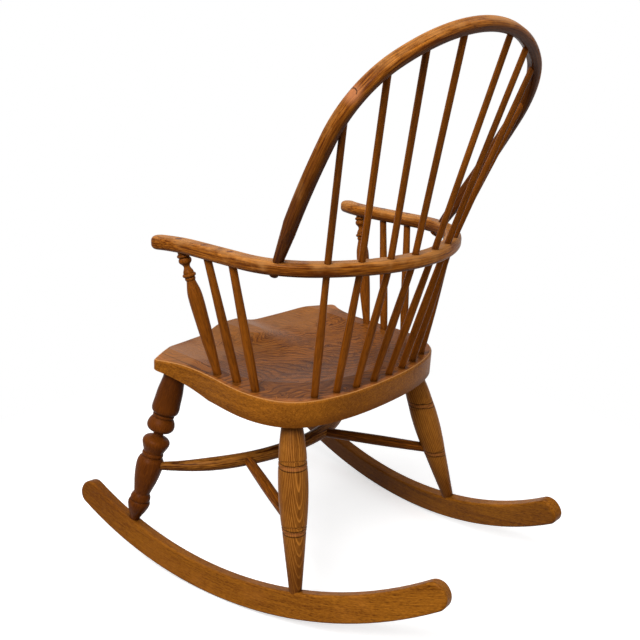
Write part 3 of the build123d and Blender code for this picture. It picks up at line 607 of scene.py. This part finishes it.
class CHAIR_OT_bows(bpy.types.Operator):
    """Steam bent arm bow and hoop, rubbed pale where hands hold them, with painted highlights on top and
    painted shade inside and below
    """
    bl_idname = "chair.bows"
    bl_label = "Arm bow and hoop"

    def execute(self, context):
        wood = context.scene.chair_timber
        self.arm_bow(wood)
        self.hoop(wood)
        return {"FINISHED"}

    def arm_bow(self, wood):
        """The level bow, rubbed with painted highlights on top and outside, and painted shade inside and
        below.
        """
        f = Finish("arm_bow")
        beyond = f.maths("MAXIMUM", f.y - ARM_CORNER_Y, 0.0) / ARM_HALF[1]
        before = f.maths("MAXIMUM", ARM_CORNER_Y - f.y, 0.0)
        outside, along = bend(f, f.x / ARM_HALF[0], beyond, before, ARM_RADIUS)
        above = f.z - ARM_HEIGHT
        made = timber(f, (outside, above, along), wood.bow_dark, wood.bow_light, **ARM_GRAIN)
        handled_and_lit = f.step(above + outside * ARM_RUB_TILT, *ARM_RUB)
        self.rubbed(f, "arm_bow", made, wood, 0.45, handled_and_lit)

    def hoop(self, wood):
        """The leaning hoop, rubbed with painted highlights on its outside, painted shade inside, and
        stained dark towards its feet.
        """
        f = Finish("back_hoop")
        behind = f.y - HOOP_FOOT[0]
        above = f.z - HOOP_FOOT[1]
        rise = above * math.cos(HOOP_LEAN) + behind * math.sin(HOOP_LEAN)
        back = behind * math.cos(HOOP_LEAN) - above * math.sin(HOOP_LEAN)
        beyond = f.maths("MAXIMUM", rise - HOOP_SHOULDER, 0.0) / HOOP_HALF[1]
        below = f.maths("MAXIMUM", HOOP_SHOULDER - rise, 0.0)
        widened = f.maths("ABSOLUTE", f.x) + below * below * HOOP_NARROWING
        sideways = widened / HOOP_HALF[0] * f.maths("SIGN", f.x)
        outside, along = bend(f, sideways, beyond, below, HOOP_RADIUS)
        place = (outside, back, along)
        colour, rough, height = timber(f, place, wood.bow_dark, wood.bow_light, **HOOP_GRAIN)
        colour = f.mix(colour, HOOP_STAIN, (1 - f.step(f.z, *HOOP_STAIN_TOP)) * 0.5)
        colour = self.scarred(f, colour)
        held = f.step(f.z, *HOOP_HELD) * 0.6 + 0.4
        handled_and_lit = f.step(outside - back * HOOP_RUB_TILT, *HOOP_RUB) * held
        self.rubbed(f, "back_hoop", (colour, rough, height), wood, 0.42, handled_and_lit)

    def scarred(self, f, colour):
        """A short curved split in the hoop with paler wood round it."""
        across, over, up = (part - middle for part, middle in zip(f.place, HOOP_SCAR))
        distance = f.length(across, over, up)
        colour = f.mix(colour, SCAR_WOOD, (1 - f.step(distance, *SCAR_REACH)) * 0.5)
        split = f.near(distance, SPLIT_RADIUS, SPLIT_REACH) * f.step(up, *SPLIT_TOP)
        return f.mix(colour, SCAR_SPLIT, split)

    def rubbed(self, f, node, made, wood, amount, handled_and_lit):
        """Varnish rubbed through in pale patches on what faces up, which also stand for a painted
        highlight, and painted shade on the faces turned away from the light.
        """
        patches = f.cloud(f.place, (16, 16, 16), detail=4.0, rough=0.6)
        bare = f.step(patches + f.upward() * 0.22, 0.50, 0.78) * handled_and_lit
        # painted shade on the faces that turn in and down, away from the light
        colour = f.mix(made[0], PAINTED_BOW_SHADE, (1 - handled_and_lit) * 0.62)
        # the pale rubbed patches, which on what faces up are also a painted highlight
        colour = f.mix(colour, BARE_BOW_AND_HIGHLIGHT, bare * amount)
        dark_spots = f.cloud(f.place, (30, 30, 30), (7.0, 0.0, 0.0), detail=3.0, rough=0.7)
        colour = f.mix(colour, shaded(wood.bow_dark, 0.5), f.step(dark_spots, 0.60, 0.76) * 0.45)
        finish_piece(f, node, (colour, made[1] + bare * 0.1, made[2]), wood.grime_and_shade)


class CHAIR_OT_stretchers(bpy.types.Operator):
    """Bent crinoline stretcher and its two spurs"""
    bl_idname = "chair.stretchers"
    bl_label = "Stretchers"

    def execute(self, context):
        wood = context.scene.chair_timber
        self.crinoline(wood)
        for name, side in SIDES.items():
            self.spur(wood, name, side)
        return {"FINISHED"}

    def crinoline(self, wood):
        f = Finish("crinoline_stretcher")
        behind = f.y - CRINOLINE_CENTRE[0]
        outside = f.length(f.x, behind) - CRINOLINE_RADIUS
        above = f.z - CRINOLINE_CENTRE[1] - behind * CRINOLINE_CLIMB
        along = f.maths("ARCTAN2", f.x, behind) * CRINOLINE_RADIUS
        place = (outside, above, along)
        made = timber(f, place, wood.turned_dark, wood.leg_light, ring=wood.ring, **CRINOLINE_GRAIN)
        finish_piece(f, "crinoline_stretcher", made, wood.grime_and_shade)

    def spur(self, wood, name, side):
        node = f"spur_stretcher_{name}"
        f = Finish(node)
        front, rear = (on_side(point, side) for point in SPURS[name])
        behind = f.y - front[1]
        length = rear[1] - front[1]
        across = f.x - front[0] - behind * ((rear[0] - front[0]) / length)
        over = f.z - front[2] - behind * ((rear[2] - front[2]) / length)
        place = (across, over, f.y)
        seed = SPUR_SEED + side
        made = timber(f, place, wood.stick_dark, wood.stick_light, seed, wood.ring, **SPUR_GRAIN)
        finish_piece(f, node, made, wood.grime_and_shade)


class CHAIR_OT_runners(bpy.types.Operator):
    """Sawn runners with straight grain along their length"""
    bl_idname = "chair.runners"
    bl_label = "Runners"

    def execute(self, context):
        wood = context.scene.chair_timber
        for name, side in SIDES.items():
            f = Finish(f"rocker_{name}")
            seed = RUNNER_SEEDS[0] + side * RUNNER_SEEDS[1]
            made = timber(f, self.place(f, side), wood.runner_dark, wood.runner_light, seed, **RUNNER_GRAIN)
            scuffs = f.cloud(f.place, (9, 9, 18), detail=3.0)
            colour = f.mix(made[0], RUNNER_WEAR, f.step(scuffs, 0.5, 0.8) * 0.4)
            # painted shade on each runner, darker towards its front and more so on the right one
            shade = (1 - f.step(f.y, *RUNNER_SHADE_Y)) * RUNNER_SHADE[name]
            colour = f.mix(colour, wood.runner_dark, shade)
            finish_piece(f, f"rocker_{name}", (colour, *made[1:]), wood.grime_and_shade)
        return {"FINISHED"}

    def place(self, f, side):
        """Place across, over and along a runner that is toed out and canted."""
        sideways = f.x * side - RUNNER_TRACK[0]
        behind = f.y - RUNNER_TRACK[1]
        outward = sideways * math.cos(RUNNER_TOE) + behind * math.sin(RUNNER_TOE)
        along = behind * math.cos(RUNNER_TOE) - sideways * math.sin(RUNNER_TOE)
        across = outward * math.cos(RUNNER_CANT) + f.z * math.sin(RUNNER_CANT)
        height = f.z * math.cos(RUNNER_CANT) - outward * math.sin(RUNNER_CANT)
        swing = f.y - RUNNER_CENTRE[0]
        return across, height - swing * swing * (RUNNER_GRAIN_BEND / RUNNER_CENTRE[1]), along


class CHAIR_OT_wedges(bpy.types.Operator):
    """Wedges in the tenons on top of the arms"""
    bl_idname = "chair.wedges"
    bl_label = "Wedges"

    def execute(self, context):
        wood = context.scene.chair_timber
        f = Finish("tenon_wedge")
        darkest = shaded(wood.turned_dark, 0.5)
        made = timber(f, f.place, darkest, wood.turned_dark, **WEDGE_GRAIN)
        material = f.varnish(*made, WEDGE_BUMP)
        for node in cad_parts:
            if node.startswith("wedge_"):
                clothe(node, material)
        return {"FINISHED"}


# ---------------------------------------------------------------- studio
class CHAIR_OT_studio(bpy.types.Operator):
    """Pale floor, soft lamps and the camera"""
    bl_idname = "chair.studio"
    bl_label = "Studio"

    def execute(self, context):
        studio = context.scene.chair_studio
        bpy.ops.object.select_all(action="DESELECT")
        self.floor(studio)
        self.sky(context.scene, studio)
        for name, (place, size) in LAMPS.items():
            self.lamp(f"{name}_lamp", place, size, getattr(studio, name))
        self.camera(context.scene, studio)
        context.scene.view_settings.view_transform = "Standard"
        return {"FINISHED"}

    def floor(self, studio):
        """A floor that keeps the chair's shadow and turns white further out."""
        bpy.ops.mesh.primitive_plane_add(size=FLOOR_SIZE, location=(0, 0, -FLOOR_DROP))
        floor = bpy.context.object
        floor.name = "studio_floor"
        f = Finish("studio_floor")
        paint = f.node("ShaderNodeBsdfDiffuse", sockets={"Color": studio.backdrop})
        glow = f.node("ShaderNodeEmission", sockets={"Color": WHITE, "Strength": FLOOR_GLOW})
        lit = f.node("ShaderNodeAddShader", sockets={0: paint, 1: glow})
        white = f.node("ShaderNodeEmission", sockets={"Color": WHITE, "Strength": 1.0})
        fade = f.step(f.length(f.x, f.y), *FLOOR_FADE)
        seen = f.node("ShaderNodeMixShader", sockets={0: fade, 1: lit, 2: white})
        bounce = f.node("ShaderNodeBsdfDiffuse", sockets={"Color": studio.bounce})
        surface = f.node("ShaderNodeMixShader", sockets={0: f.bright_ray(), 1: bounce, 2: seen})
        f.node("ShaderNodeOutputMaterial", sockets={"Surface": surface})
        floor.data.materials.append(f.material)

    def sky(self, scene, studio):
        """Even light from all round, which the camera sees as white."""
        world = bpy.data.worlds.new("studio_light")
        world.use_nodes = True
        scene.world = world
        w = Nodes(world.node_tree)
        level = w.node("ShaderNodeMapRange", sockets={0: w.bright_ray(), 3: studio.sky, 4: 1.0})
        light = w.node("ShaderNodeBackground", sockets={"Color": WHITE, "Strength": level})
        w.node("ShaderNodeOutputWorld", sockets={"Surface": light})

    def lamp(self, name, place, size, power):
        """A square lamp that points at the middle of the chair."""
        bpy.ops.object.light_add(type="AREA", location=place)
        lamp = bpy.context.object
        lamp.name = name
        lamp.data.size = size
        lamp.data.energy = power
        aim = Vector(LAMP_AIM) - Vector(place)
        lamp.rotation_euler = aim.to_track_quat("-Z", "Y").to_euler()

    def camera(self, scene, studio):
        turn = Euler([math.radians(angle) for angle in CAMERA_TURN])
        bpy.ops.object.camera_add(location=CAMERA_PLACE, rotation=turn)
        camera = bpy.context.object
        camera.name = "studio_camera"
        camera.data.sensor_fit = "HORIZONTAL"
        camera.data.sensor_width = SENSOR_WIDTH
        camera.data.lens = studio.lens
        scene.camera = camera


class CHAIR_PT_sidebar(bpy.types.Panel):
    bl_label = "Rocking chair"
    bl_idname = "CHAIR_PT_sidebar"
    bl_space_type = "VIEW_3D"
    bl_region_type = "UI"
    bl_category = "Rocking chair"

    def draw(self, context):
        for group in (context.scene.chair_timber, context.scene.chair_studio):
            box = self.layout.box()
            for name in group.__annotations__:
                box.prop(group, name)
        for step in STEPS:
            self.layout.operator(step.bl_idname)


STEPS = (CHAIR_OT_studio, CHAIR_OT_seat, CHAIR_OT_legs, CHAIR_OT_sticks, CHAIR_OT_bows, CHAIR_OT_stretchers,
         CHAIR_OT_runners, CHAIR_OT_wedges)
CLASSES = (ChairTimber, ChairStudio, *STEPS, CHAIR_PT_sidebar)


def register():
    for made in CLASSES:
        bpy.utils.register_class(made)
    bpy.types.Scene.chair_timber = PointerProperty(type=ChairTimber)
    bpy.types.Scene.chair_studio = PointerProperty(type=ChairStudio)


def unregister():
    del bpy.types.Scene.chair_studio
    del bpy.types.Scene.chair_timber
    for made in reversed(CLASSES):
        bpy.utils.unregister_class(made)


def main():
    """Dresses the chair."""
    register()
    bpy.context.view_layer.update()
    for step in STEPS:
        area, name = step.bl_idname.split(".")
        getattr(getattr(bpy.ops, area), name)()


if __name__ == "__main__":
    main()
